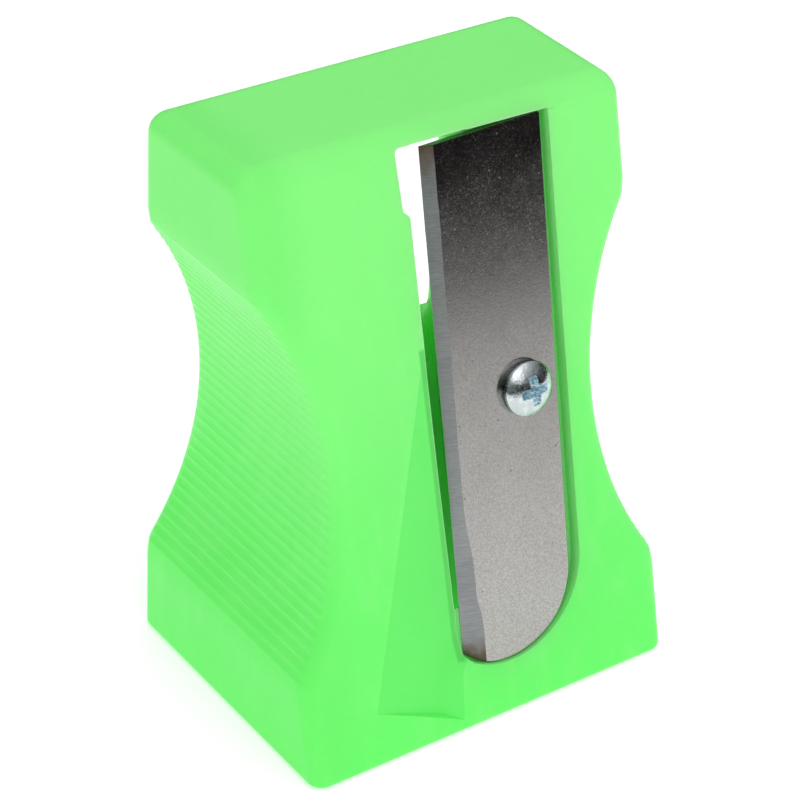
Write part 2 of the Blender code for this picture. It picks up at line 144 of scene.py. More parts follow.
# Screw
SCREW_X = 3.27 * MM
SCREW_UP = 14.73 * MM
HEAD_RADIUS = 1.25 * MM
HEAD_NECK_RADIUS = 1.17 * MM
HEAD_WALL = 0.32 * MM
HEAD_DOME = 0.5 * MM
HEAD_RIM_ROUND = 0.12 * MM
HEAD_RIM_DRAW = 0.25
HEAD_UNDER_INSET = 0.06 * MM
HEAD_UNDER_RISE = 0.05 * MM
HEAD_WALL_FLARE = 0.015 * MM
HEAD_WALL_FLARE_RISE = 0.2
HEAD_DOME_START = 0.97
HEAD_SPHERE = (HEAD_RADIUS**2 + HEAD_DOME**2) / (2.0 * HEAD_DOME)
HEAD_CROWN = BLADE_THICKNESS + SEAT_GAP + HEAD_WALL + HEAD_DOME
THREAD_RADIUS = 0.87 * MM
THREAD_ROOT = 0.62 * MM
THREAD_PITCH = 0.6 * MM
THREAD_HALF_FLANK = 0.34
SCREW_LENGTH = 5.8 * MM
SCREW_POINT = 0.6 * MM
SCREW_TIP_SHARE = 0.2
SCREW_POINT_SHARE = 0.45
CROSS_WIDTH = 0.46 * MM
CROSS_REACH = 0.8 * MM
CROSS_DEPTH = 0.6 * MM
CROSS_TURN = math.radians(5.0)
# Shares of the cross's depth, reach and width, from its floor to above the crown
CROSS_SECTIONS = (
    (1.0, 0.1, 0.45),
    (0.8, 0.5, 0.72),
    (0.0, 1.0, 1.0),
    (-0.2, 1.14, 1.08),
    (-1.0, 1.7, 1.4),
)
CROSS_END_CORNER = 0.25
RECESS_REACH = 1.3
RECESS_DEPTH = 1.1
RECESS_START = 0.02 * MM
PILOT_RADIUS = 0.93 * MM
PILOT_DEPTH = 6.3 * MM
PILOT_END_SHARE = 0.3
PILOT_END_LENGTH = 0.4 * MM
BOSS_RADIUS = 2.15 * MM
BOSS_LENGTH = 7.1 * MM
BOSS_ROUND = 0.2 * MM
BOSS_ROUND_MIDDLE = 0.3

# Hollow behind the face
HOLLOW_HALF_WIDTH = 5.6 * MM
HOLLOW_BOTTOM = 9.5 * MM
HOLLOW_TOP = 25.3 * MM
LEFT_PLATE = 1.4 * MM
SEAT_PLATE = 2.1 * MM
PLATE_STEP_X = -2.8 * MM
HOLLOW_CORNER = 0.7 * MM
HOLLOW_FLARE = 0.25 * MM

# Shaving slot, window above it and ramp beside it
SLOT_DEPTH = 3.0 * MM
SLOT_RIGHT_X = 0.3 * MM
SLOT_LEFT_OUTLINE = in_mm(
    (-1.45, 5.6),
    (-1.67, 12.0),
    (-1.79, 16.8),
    (-1.81, 23.8),
    (-2.13, 24.1),
    (-2.25, 26.75),
)
SLOT_CORNER = 0.25 * MM
WINDOW_BOTTOM = 25.2 * MM
WINDOW_RIGHT_X = 1.6 * MM
RAMP_TILT = math.radians(5.0)
RAMP_TOP = (-1.87 * MM, 18.1 * MM)
RAMP_LOW = (-6.37 * MM, 2.0 * MM)
RAMP_FLOOR_OUTLINE = in_mm(
    (-7.2, 3.0),
    (-2.9, 1.25),
    (-2.7, 3.3),
    (-1.2, 4.9),
    (-1.2, 18.1),
    (-2.9, 18.1),
)
RAMP_RIM_OUTLINE = in_mm(
    (-7.2, 2.9),
    (-1.7, 0.6),
    (-1.5, 2.9),
    (-0.6, 4.5),
    (-0.6, 18.1),
    (-2.9, 18.1),
)
RAMP_RIM_RISE = 0.05 * MM
FACE_FLARE = 0.02 * MM

OUTSIDE = 2.0 * MM

# Smoothness
CORNER_STEPS = 8
END_STEPS = 8
FLAT_STEPS = 6
BORE_SIDES = 128
BOSS_SIDES = 64
HOLE_SIDES = 64
BLADE_END_STEPS = 72
BEVEL_STATIONS = 90
SCREW_SIDES = 96
THREAD_STEPS_PER_TURN = 18
DOME_STEPS = 20
RIM_STEPS = 5
FLARE_STEPS = 3
MOUTH_STEPS = 5
SMOOTH_ANGLE = math.radians(30.0)
ROUNDING_STEPS = 5
ROUNDING_ROOM = 0.45
ROUNDING_LEAST = 1e-7
ROUNDING_STRAIGHT = 0.49 * math.pi
MITRE_LEAST = 0.4
RIB_CURVE_POINTS = 4000
FLOOR_SIDES = 96

# Colours of the plastic
# Painted light: GREEN_HIGH is a paler green painted towards the top
GREEN_LOW = (0.15, 0.92, 0.155)
GREEN_HIGH = (0.25, 0.92, 0.225)
GREEN_STREAK = (0.25, 0.94, 0.23)
# Painted shade: a darker green on the left side
GREEN_SIDE_SHADE = (0.15, 0.80, 0.14)
# Painted shade: a deeper green on the ramp beside the slot
GREEN_RAMP_SHADE = (0.13, 0.84, 0.14)
# Painted shade: a dark green along the lip beside the slot
GREEN_LIP_SHADE = (0.09, 0.62, 0.09)
# Painted shade: a greyer green in the blade's seat
GREEN_SEAT_SHADE = (0.26, 0.62, 0.24)

# Where painted shade changes the plastic's colour
# Painted shade on the left side, strongest at its left edge
SIDE_PAINTED_SHADE = (-8.8 * MM, -6.2 * MM)
# Painted shade on the ramp's floor
RAMP_SHADE_DEPTH = (0.003 * MM, 0.8 * MM)
RAMP_SHADE_X = (-7.0 * MM, -1.3 * MM)
RAMP_SHADE_Z = (0.6 * MM, 18.0 * MM)
RAMP_SHADE_LEAN = -0.25
RAMP_SHADE_EDGE = (-7.6 * MM, -7.2 * MM)
RAMP_SHADE = 0.75
# Painted shade on the lip beside the slot
LIP_SHADE_LEAN = 0.03
LIP_SHADE_EDGE = (-1.64 * MM, -1.52 * MM)
LIP_SHADE_X = (-2.3 * MM, -1.25 * MM)
LIP_SHADE_Z = (3.2 * MM, 17.4 * MM)
LIP_SHADE = 0.85
# Painted shade in the blade's seat, below the face
SEAT_SHADE_DEPTH = (0.02 * MM, 0.8 * MM)
SEAT_SHADE_X = (-1.1 * MM, 6.0 * MM)
SEAT_SHADE_Z = (1.5 * MM, 25.7 * MM)
BORDER = 0.1 * MM

# Usual range of a noise texture's values
NOISE_LOW = 0.3
NOISE_HIGH = 0.7

# Hairline scratches
HAIRLINE_WANDER = 1.5
HAIRLINE_CORE = 0.3
HAIRLINE_SHOWN = (0.56, 0.66)

# Colours of the metals
# Painted reflection: the blade's face darker towards its top end
STEEL_TOP = (0.338, 0.328, 0.318)
STEEL_LOW = (0.455, 0.445, 0.43)
# Painted reflection: a near-black patch at the blade's top end
STEEL_DARK_REFLECTION = (0.11, 0.105, 0.10)
STEEL_GRAIN = (0.24, 0.23, 0.22)
GROUND_DARK = (0.26, 0.265, 0.275)
GROUND_LIGHT = (0.37, 0.38, 0.395)
GROUND_TOP_DARK = (0.15, 0.09, 0.045)
GROUND_STAIN = (0.12, 0.085, 0.05)
ZINC_DARK = (0.52, 0.57, 0.60)
ZINC_LIGHT = (0.66, 0.71, 0.72)
# The plating's blue in the cross recess, mottled up to painted highlights
RECESS_DARK = (0.22, 0.42, 0.52)
RECESS_HIGHLIGHT = (0.78, 0.92, 0.96)

# Floor
FLOOR_Z = -0.02 * MM
NEAR_FLOOR_RADIUS = 155.0 * MM
FAR_FLOOR_RADIUS = 3000.0 * MM
FLOOR_WHITE = 0.93
FLOOR_GLOW = 0.35

# Light: what lies around the object, as matt things see it and as the camera sees it
ROOM_BRIGHTNESS = 0.76
BACKDROP_BRIGHTNESS = 1.1
MIRRORED_LOW = (0.25, 0.01)
MIRRORED_HIGH = (0.85, 0.8)

# Soft boxes: name, azimuth and elevation in degrees, distance, size and power
SOFT_LIGHTS = (
    ("key_softbox", -20.0, 50.0, 0.22, 0.14, 0.07),
    ("top_softbox", 20.0, 80.0, 0.22, 0.20, 0.05),
)

# Camera: where it stands seen from the middle of the object, and how it is held
CAMERA_AZIMUTH = math.radians(-37.251)
CAMERA_ELEVATION = math.radians(33.208)
CAMERA_ROLL = math.radians(3.409)
CAMERA_DISTANCE = 124.2 * MM
CAMERA_LENS = 129.2
SENSOR_WIDTH = 36.0
CAMERA_AIM = Vector((-0.90, 0.077, -0.137)) * MM


# --- mesh helpers


def new_object(name, bm):
    """Turn a bmesh into a named, smooth-shaded object with outward faces."""
    bmesh.ops.recalc_face_normals(bm, faces=bm.faces)
    mesh = bpy.data.meshes.new(name)
    bm.to_mesh(mesh)
    bm.free()
    mesh.shade_smooth()
    mesh.set_sharp_from_angle(angle=SMOOTH_ANGLE)
    return placed(name, mesh)


def placed(name, data):
    """New object in the scene."""
    item = bpy.data.objects.new(name, data)
    bpy.context.scene.collection.objects.link(item)
    return item


def loft(loops):
    """Closed solid through loops of equal length, capped at both ends."""
    bm = bmesh.new()
    rings = [[bm.verts.new(point) for point in loop] for loop in loops]
    count = len(rings[0])
    for low, high in zip(rings, rings[1:]):
        for i in range(count):
            j = (i + 1) % count
            bm.faces.new((low[i], low[j], high[j], high[i]))
    bm.faces.new(list(reversed(rings[0])))
    bm.faces.new(rings[-1])
    return bm


def turned(profile, sides):
    """Solid of revolution about Z through (radius, height) points, flat at both ends."""
    angles = full_turn(sides)
    return loft(
        [[(r * math.cos(a), r * math.sin(a), height) for a in angles] for r, height in profile]
    )


def subtract(item, cutter):
    """Cut one closed mesh out of another, and drop the cutter."""
    modifier = item.modifiers.new("cut", "BOOLEAN")
    modifier.operation = "DIFFERENCE"
    modifier.solver = "MANIFOLD"
    modifier.object = cutter
    apply_modifiers(item)
    bpy.data.objects.remove(cutter, do_unlink=True)


def apply_modifiers(item):
    """Make the object's evaluated mesh its own mesh."""
    bpy.context.view_layer.update()
    graph = bpy.context.evaluated_depsgraph_get()
    mesh = bpy.data.meshes.new_from_object(item.evaluated_get(graph))
    item.modifiers.clear()
    old = item.data
    item.data = mesh
    bpy.data.meshes.remove(old)


def dress(item, *materials):
    """Give a piece its materials, the first one on every face."""
    item.data.materials.clear()
    for material in materials:
        item.data.materials.append(material)
    item.data.polygons.foreach_set("material_index", [0] * len(item.data.polygons))


def smooth_by_face_size(item):
    """Let large flat faces keep their own direction beside rounded edges."""
    item.data.shade_smooth()
    item.data.set_sharp_from_angle(angle=SMOOTH_ANGLE)
    modifier = item.modifiers.new("face_weighted_normals", "WEIGHTED_NORMAL")
    modifier.mode = "FACE_AREA"
    modifier.weight = 100
    modifier.keep_sharp = True
    apply_modifiers(item)


def quarter_turn(steps):
    """Angles from nought to a right angle, both included."""
    return [0.5 * math.pi * i / steps for i in range(steps + 1)]


def quarter_round(radius, steps):
    """(inset, rise) pairs along a rounded edge, from its full inset to none."""
    angles = quarter_turn(steps)
    return [(radius * (1.0 - math.sin(a)), radius * (1.0 - math.cos(a))) for a in angles]


def full_turn(sides):
    """Angles once round a circle."""
    return [2.0 * math.pi * i / sides for i in range(sides)]


def rounded_outline(outline, radius):
    """Polygon with each corner replaced by an arc that is tangent to both its sides."""
    points = [Vector(point) for point in outline]
    result = []
    for i, corner in enumerate(points):
        before = points[i - 1] - corner
        after = points[(i + 1) % len(points)] - corner
        room = ROUNDING_ROOM * min(before.length, after.length)
        a, b = before.normalized(), after.normalized()
        half = 0.5 * a.angle(b)
        setback = min(radius / math.tan(half), room)
        if setback < ROUNDING_LEAST or half > ROUNDING_STRAIGHT:
            result.append(corner)
            continue
        arc = setback * math.tan(half)
        centre = corner + (a + b).normalized() * (arc / math.sin(half))
        start = corner + a * setback - centre
        stop = corner + b * setback - centre
        sweep = start.angle_signed(stop)
        for step in range(ROUNDING_STEPS + 1):
            turn = Matrix.Rotation(-sweep * step / ROUNDING_STEPS, 2)
            result.append(centre + turn @ start)
    return [tuple(point) for point in result]


def offset_outline(outline, distance):
    """Polygon grown outwards by a distance, with mitred corners."""
    points = [Vector(point) for point in outline]
    area = sum(p.x * q.y - q.x * p.y for p, q in zip(points, points[1:] + points[:1]))
    side = 1.0 if area > 0.0 else -1.0
    result = []
    for i, corner in enumerate(points):
        into = (corner - points[i - 1]).normalized()
        away = (points[(i + 1) % len(points)] - corner).normalized()
        normal_in = Vector((into.y, -into.x)) * side
        normal_out = Vector((away.y, -away.x)) * side
        mitre = (normal_in + normal_out).normalized()
        result.append(corner + mitre * (distance / max(mitre.dot(normal_in), MITRE_LEAST)))
    return [tuple(point) for point in result]


def mouth_outlines(outline, flare):
    """(outline, height) pairs that round a mouth over, up to clear of the surface."""
    pairs = []
    for angle in quarter_turn(FLARE_STEPS):
        grown = offset_outline(outline, flare * (1.0 - math.cos(angle)))
        pairs.append((grown, flare * (math.sin(angle) - 1.0)))
    return pairs + [(grown, OUTSIDE)]


# --- places on the face


def face_point(x, up, out):
    """Position of a point given along X, up the sloping face and outwards from it."""
    y = FACE_FOOT_Y + up * math.sin(FACE_TILT) - out * math.cos(FACE_TILT)
    z = up * math.cos(FACE_TILT) + out * math.sin(FACE_TILT)
    return Vector((x, y, z))


def face_matrix(x, up, out):
    """Placement whose local Z points outwards from the face and local Y up its slope."""
    across = Vector((1.0, 0.0, 0.0))
    slope = face_point(0.0, 1.0, 0.0) - face_point(0.0, 0.0, 0.0)
    outwards = face_point(0.0, 0.0, 1.0) - face_point(0.0, 0.0, 0.0)
    turn = Matrix((across, slope, outwards)).transposed()
    return Matrix.Translation(face_point(x, up, out)) @ turn.to_4x4()


def face_prism(outline, low, flare):
    """Cutter with an (x, up) outline from low up through the face, its mouth rounded over."""
    loops = [[face_point(x, up, low) for x, up in outline]]
    for grown, out in mouth_outlines(outline, flare):
        loops.append([face_point(x, up, out) for x, up in grown])
    return loft(loops)


def face_height(z):
    """Y of the sloping face at height z."""
    return FACE_FOOT_Y + z * math.tan(FACE_TILT)


# --- body


def waist_reach():
    """Height from the waist's middle to where the side becomes flat again."""
    centres = SHOULDER_RADIUS - WAIST_INSET + WAIST_RADIUS
    return math.sqrt((WAIST_RADIUS + SHOULDER_RADIUS) ** 2 - centres**2)


def half_width(z):
    """Half the body's width at height z: flats above and below a concave waist."""
    from_waist = abs(z - WAIST_HEIGHT)
    reach = waist_reach()
    if from_waist < reach * WAIST_RADIUS / (WAIST_RADIUS + SHOULDER_RADIUS):
        centre = HALF_WIDTH - WAIST_INSET + WAIST_RADIUS
        return centre - math.sqrt(WAIST_RADIUS**2 - from_waist**2)
    if from_waist < reach:
        centre = HALF_WIDTH - SHOULDER_RADIUS
        return centre + math.sqrt(SHOULDER_RADIUS**2 - (reach - from_waist) ** 2)
    return HALF_WIDTH


def rib_heights():
    """Heights of the rib samples, evenly spaced along the waist's curved side."""
    reach = waist_reach()
    z = np.linspace(WAIST_HEIGHT - reach, WAIST_HEIGHT + reach, RIB_CURVE_POINTS)
    width = np.array([half_width(value) for value in z])
    length = np.concatenate(([0.0], np.cumsum(np.hypot(np.diff(z), np.diff(width)))))
    start = 0.5 * (length[-1] - RIB_COUNT * RIB_PITCH)
    samples = start + RIB_PITCH * np.arange(RIB_COUNT * RIB_SAMPLES + 1) / RIB_SAMPLES
    return np.interp(samples, length, z)


def groove_depth(index):
    """Depth of the groove between two rib crests at a sample."""
    phase = (index % RIB_SAMPLES) / RIB_SAMPLES
    return RIB_DEPTH * (1.0 - abs(2.0 * phase - 1.0) ** RIB_BLUNTNESS)


def end_inset(z):
    """How far the outline draws in at height z, where an end is rounded over."""
    if z < BASE_ROUNDING:
        return BASE_ROUNDING - math.sqrt(BASE_ROUNDING**2 - (BASE_ROUNDING - z) ** 2)
    over = z - (HEIGHT - TOP_ROUNDING)
    if over > 0.0:
        return TOP_ROUNDING - math.sqrt(max(TOP_ROUNDING**2 - over**2, 0.0))
    return 0.0


def body_sections():
    """(height, groove depth) of each horizontal section, from the base to the top."""
    quarter = quarter_turn(END_STEPS)
    ribs = rib_heights()
    rows = [(BASE_ROUNDING * (1.0 - math.cos(angle)), 0.0) for angle in quarter]
    low_flat = np.linspace(rows[-1][0], ribs[0], FLAT_STEPS + 2)[1:-1]
    rows += [(z, 0.0) for z in low_flat]
    rows += [(z, groove_depth(i)) for i, z in enumerate(ribs)]
    top_start = HEIGHT - TOP_ROUNDING
    rows += [(z, 0.0) for z in np.linspace(ribs[-1], top_start, FLAT_STEPS + 2)[1:-1]]
    rows += [(HEIGHT - TOP_ROUNDING * (1.0 - math.sin(angle)), 0.0) for angle in quarter]
    return rows


def section_loop(z, groove):
    """Horizontal rounded rectangle, its sides pressed in by the grip grooves."""
    inset = end_inset(z)
    narrowing = (CORNER_RADIUS - TOP_CORNER_RADIUS) / TOP_ROUNDING
    radius = CORNER_RADIUS - inset * narrowing
    x_half = half_width(z) - inset
    y_low = face_height(z) + inset
    y_high = BACK_Y - inset
    corners = (
        (x_half - radius, y_high - radius, 0.0),
        (-x_half + radius, y_high - radius, 0.5 * math.pi),
        (-x_half + radius, y_low + radius, math.pi),
        (x_half - radius, y_low + radius, 1.5 * math.pi),
    )
    loop = []
    for x, y, start in corners:
        for turn in quarter_turn(CORNER_STEPS):
            angle = start + turn
            facing = max(0.0, (abs(math.cos(angle)) - RIB_FADE_START) / RIB_FADE_RANGE)
            pressed = math.copysign(groove * facing, math.cos(angle))
            loop.append((x + radius * math.cos(angle) - pressed, y + radius * math.sin(angle), z))
    return loop


def bore_axis_y():
    """Y of the bore's axis, where its cone just touches the blade's underside."""
    return face_height(MOUTH_LENGTH) + SEAT_DEPTH / math.cos(FACE_TILT) + BORE_RADIUS


def cone_radius(z):
    """The pencil cone's radius at height z."""
    return BORE_RADIUS - (z - MOUTH_LENGTH) * math.tan(FACE_TILT)


def bore_cutter():
    """The pencil's way in: rounded mouth, short cylinder and long cone."""
    profile = [(BORE_RADIUS + MOUTH_CHAMFER, -OUTSIDE)]
    profile += [(BORE_RADIUS + out, z) for out, z in quarter_round(MOUTH_CHAMFER, MOUTH_STEPS)]
    profile += [(BORE_RADIUS, MOUTH_LENGTH), (cone_radius(CONE_TOP), CONE_TOP)]
    item = new_object("bore_cutter", turned(profile, BORE_SIDES))
    item.location = (BORE_X, bore_axis_y(), 0.0)
    return item


def tube_outer():
    """Outside of the tube around the pencil cone, kept solid inside the hollow."""
    heights = (HOLLOW_BOTTOM - OUTSIDE, TUBE_TOP)
    profile = [(cone_radius(z) + TUBE_WALL, z) for z in heights]
    item = new_object("tube_outer", turned(profile, BORE_SIDES))
    item.location = (BORE_X, bore_axis_y(), 0.0)
    return item


def screw_boss():
    """Round boss behind the seat that the screw bites into, its end edge rounded."""
    middle = BOSS_ROUND_MIDDLE * BOSS_ROUND
    profile = (
        (BOSS_RADIUS - BOSS_ROUND, -BOSS_LENGTH),
        (BOSS_RADIUS - middle, -BOSS_LENGTH + middle),
        (BOSS_RADIUS, -BOSS_LENGTH + BOSS_ROUND),
        (BOSS_RADIUS, OUTSIDE),
    )
    item = new_object("screw_boss", turned(profile, BOSS_SIDES))
    item.matrix_world = face_matrix(SCREW_X, SCREW_UP, -SEAT_DEPTH)
    return item


def pilot_cutter():
    """The screw's blind hole."""
    profile = (
        (PILOT_END_SHARE * PILOT_RADIUS, -PILOT_DEPTH - PILOT_END_LENGTH),
        (PILOT_RADIUS, -PILOT_DEPTH),
        (PILOT_RADIUS, OUTSIDE),
    )
    item = new_object("pilot_cutter", turned(profile, HOLE_SIDES))
    item.matrix_world = face_matrix(SCREW_X, SCREW_UP, -SEAT_DEPTH)
    return item


def hollow_cutter():
    """Hollow behind the face, open at the back, around the tube and the boss."""
    loops = []
    for z in (HOLLOW_BOTTOM, HOLLOW_TOP):
        left_y = face_height(z) + LEFT_PLATE / math.cos(FACE_TILT)
        seat_y = face_height(z) + SEAT_PLATE / math.cos(FACE_TILT)
        back = BACK_Y + OUTSIDE
        plan = (
            (-HOLLOW_HALF_WIDTH, back),
            (-HOLLOW_HALF_WIDTH, left_y),
            (PLATE_STEP_X, left_y),
            (PLATE_STEP_X, seat_y),
            (HOLLOW_HALF_WIDTH, seat_y),
            (HOLLOW_HALF_WIDTH, back),
        )
        loops.append([(x, y, z) for x, y in rounded_outline(plan, HOLLOW_CORNER)])
    item = new_object("hollow_cutter", loft(loops))
    subtract(item, tube_outer())
    subtract(item, screw_boss())
    return item


def hollow_mouth_cutter():
    """Rounds over the hollow's edge at the back."""
    half, low, high = HOLLOW_HALF_WIDTH, HOLLOW_BOTTOM, HOLLOW_TOP
    outline = ((-half, low), (half, low), (half, high), (-half, high))
    mouth = mouth_outlines(outline, HOLLOW_FLARE)
    loops = [[(x, BACK_Y + out, z) for x, z in grown] for grown, out in mouth]
    return new_object("hollow_mouth_cutter", loft(loops))


def blade_end_arc(radius, start, stop):
    """Arc of the blade's round lower end, in the blade's frame."""
    centre_u = BACK_EDGE_TO_HOLE - BLADE_END_RADIUS
    centre_v = TOP_EDGE_TO_HOLE - BLADE_LENGTH + BLADE_END_RADIUS
    steps = range(BLADE_END_STEPS + 1)
    angles = [start + (stop - start) * i / BLADE_END_STEPS for i in steps]
    return [(centre_u + radius * math.cos(a), centre_v + radius * math.sin(a)) for a in angles]


def seat_cutter():
    """Flat-bottomed seat for the blade, open to the slot on its left."""
    centre_x, centre_up = SEAT_END_CENTRE
    join_x = SEAT_LEFT_X + SEAT_CORNER_REACH
    start = 2.0 * math.pi - math.acos((join_x - centre_x) / SEAT_END_RADIUS)
    stop = 2.0 * math.pi + SEAT_SKEW
    outline = [(SEAT_LEFT_X, SEAT_CORNER_UP)]
    for step in range(BLADE_END_STEPS + 1):
        angle = start + (stop - start) * step / BLADE_END_STEPS
        x = centre_x + SEAT_END_RADIUS * math.cos(angle)
        outline.append((x, centre_up + SEAT_END_RADIUS * math.sin(angle)))
    right_x, right_up = outline[-1]
    top_x = right_x - (SEAT_TOP - right_up) * math.tan(SEAT_SKEW)
    left_up = SEAT_TOP + (SEAT_LEFT_X - top_x) * math.tan(SEAT_SKEW)
    outline += [(top_x, SEAT_TOP), (SEAT_LEFT_X, left_up)]
    return new_object("seat_cutter", face_prism(outline, -SEAT_DEPTH - SEAT_GAP, FACE_FLARE))


def slot_cutter():
    """Slot along the cutting edge, through which the shavings leave."""
    top = SLOT_LEFT_OUTLINE[-1][1]
    outline = list(SLOT_LEFT_OUTLINE)
    outline += [(WINDOW_RIGHT_X, top), (WINDOW_RIGHT_X, WINDOW_BOTTOM)]
    outline += [(SLOT_RIGHT_X, WINDOW_BOTTOM), (SLOT_RIGHT_X, SLOT_LEFT_OUTLINE[0][1])]
    outline = rounded_outline(outline, SLOT_CORNER)
    return new_object("slot_cutter", face_prism(outline, -SLOT_DEPTH, FACE_FLARE))


def ramp_cutter():
    """Shallow wedge that leads the shavings away, deepest beside the slot."""
    top_x, top_up = RAMP_TOP
    low_x, low_up = RAMP_LOW
    lean = (top_x - low_x) / (top_up - low_up)
    fall = math.tan(RAMP_TILT) * math.cos(math.atan(lean))

    def floor_depth(x, up):
        edge_x = low_x + (up - low_up) * lean
        return (x - edge_x) * fall

    floor, rim, mouth = [], [], []
    for (x, up), (rim_x, rim_up) in zip(RAMP_FLOOR_OUTLINE, RAMP_RIM_OUTLINE):
        depth = floor_depth(x, up)
        floor.append(face_point(x, up, -depth))
        rim.append(face_point(rim_x, rim_up, max(0.0, RAMP_RIM_RISE - depth)))
        mouth.append(face_point(rim_x, rim_up, OUTSIDE))
    return new_object("ramp_cutter", loft([floor, rim, mouth]))


def make_body():
    """The moulded body in one piece, with real ribs and rounded edges."""
    loops = [section_loop(z, groove) for z, groove in body_sections()]
    body = new_object("body_moulding", loft(loops))
    for cutter in (
        hollow_cutter,
        hollow_mouth_cutter,
        bore_cutter,
        seat_cutter,
        slot_cutter,
        ramp_cutter,
        pilot_cutter,
    ):
        subtract(body, cutter())
    smooth_by_face_size(body)
    return body


# --- blade


def edge_wobble(v, size):
    """Small, repeatable unevenness of a hand-ground line at height v."""
    t = v / MM
    waves = sum(tall * math.sin(rate * t + phase) for tall, rate, phase in WOBBLE_WAVES)
    return size * waves / WOBBLE_HEIGHT


def soft_step(v, middle, softness):
    """Rise from nought above a height to one below it."""
    return 1.0 / (1.0 + math.exp(min(EXPONENT_LIMIT, (v - middle) / softness)))


def bevel_width(v):
    """Width of the ground bevel at height v in the blade's frame: it widens near the round end."""
    steps = BEVEL_STEP * soft_step(v, BEVEL_STEP_MIDDLE, BEVEL_STEP_SOFTNESS)
    steps += BEVEL_END_STEP * soft_step(v, BEVEL_END_MIDDLE, BEVEL_END_SOFTNESS)
    return BEVEL_WIDTH - BEVEL_WIDENING * v + steps + edge_wobble(v, BEVEL_WOBBLE)


def top_edge(u):
    """Height of the blade's top end, which is cut slightly off square."""
    return TOP_EDGE_TO_HOLE + (u - TOP_EDGE_MIDDLE) * TOP_EDGE_SLOPE


def edge_taper(v):
    """How far the cutting edge is ground in at height v: most near the round end."""
    fall = (TOP_EDGE_TO_HOLE - v) / (TOP_EDGE_TO_HOLE - EDGE_TAPER_END)
    return EDGE_TAPER * max(0.0, min(fall, 1.0))


def blade_outline(inset):
    """Blade's outline drawn in by a distance: square top corners and a round lower end."""
    radius = BLADE_END_RADIUS - inset
    centre_u = BACK_EDGE_TO_HOLE - BLADE_END_RADIUS
    left = CUTTING_EDGE + inset
    left_angle = math.acos((centre_u - left - EDGE_TAPER) / radius)
    outline = blade_end_arc(radius, math.pi + left_angle, 2.0 * math.pi)
    corner = BLADE_CORNER
    right = BACK_EDGE_TO_HOLE - inset
    top = top_edge(BACK_EDGE_TO_HOLE) - inset
    for angle in quarter_turn(FLARE_STEPS):
        inwards = corner * (1.0 - math.cos(angle))
        outline.append((right - inwards, top - corner * (1.0 - math.sin(angle))))
    low = outline[0][1]
    top = top_edge(CUTTING_EDGE) - inset
    for step in range(EDGE_BOW_STEPS):
        share = step / EDGE_BOW_STEPS
        bow = EDGE_BOW * math.sin(math.pi * share)
        v = top + (low - top) * share
        outline.append((left - bow + edge_taper(v), v))
    return outline


def blade_blank():
    """Flat blade with its long edges rounded over."""
    levels = quarter_round(BLADE_EDGE_ROUND, FLARE_STEPS)
    levels += [(inset, BLADE_THICKNESS - z) for inset, z in reversed(levels)]
    return loft([[(u, v, z) for u, v in blade_outline(inset)] for inset, z in levels])


def bevel_cutter():
    """What the grinding wheel takes off along the cutting edge."""
    low = TOP_EDGE_TO_HOLE - BLADE_LENGTH - OUTSIDE
    high = TOP_EDGE_TO_HOLE + OUTSIDE
    loops = []
    for i in range(BEVEL_STATIONS + 1):
        v = low + (high - low) * i / BEVEL_STATIONS
        edge = CUTTING_EDGE + edge_taper(v)
        rise = (BLADE_THICKNESS - EDGE_LAND) / (bevel_width(v) - edge_taper(v))
        land = EDGE_LAND + edge_wobble(LAND_WOBBLE_RATE * v, LAND_WOBBLE * EDGE_LAND)
        left = edge - OUTSIDE
        line_z = BLADE_THICKNESS + BEVEL_LINE_RISE
        line = edge + (line_z - land) / rise
        right = edge + (OUTSIDE - land) / rise
        low_corner = (left, v, land - OUTSIDE * rise)
        loops.append([low_corner, (line, v, line_z), (right, v, OUTSIDE), (left, v, OUTSIDE)])
    return new_object("bevel_cutter", loft(loops))


def make_blade():
    """The steel blade, its origin in its hole on the screw's axis."""
    blade = new_object("blade_steel_plate", blade_blank())
    subtract(blade, bevel_cutter())
    hole = turned([(BLADE_HOLE_RADIUS, -OUTSIDE), (BLADE_HOLE_RADIUS, OUTSIDE)], HOLE_SIDES)
    subtract(blade, new_object("blade_hole_cutter", hole))
    smooth_by_face_size(blade)
    skew = Matrix.Rotation(BLADE_SKEW, 4, "Z")
    blade.matrix_world = face_matrix(SCREW_X, SCREW_UP, -SEAT_DEPTH) @ skew
    return blade


def paint_bevel(blade, plate, ground):
    """Give the ground bevel its own finish: the faces that lean towards the cutting edge."""
    dress(blade, plate, ground)
    for face in blade.data.polygons:
        leans = face.normal.x < -BEVEL_LEAN_LEFT and face.normal.z > BEVEL_LEAN_OUT
        by_edge = face.center.x < CUTTING_EDGE + 2.0 * BEVEL_WIDTH
        away_from_rim = face.area > BEVEL_FACE_AREA
        face.material_index = 1 if leans and by_edge and away_from_rim else 0


# --- screw


def thread_ridge(z, angle):
    """Share of the full thread height at height z and an angle around the screw."""
    phase = (z / THREAD_PITCH - angle / (2.0 * math.pi)) % 1.0
    return max(0.0, 1.0 - abs(phase - 0.5) / THREAD_HALF_FLANK)


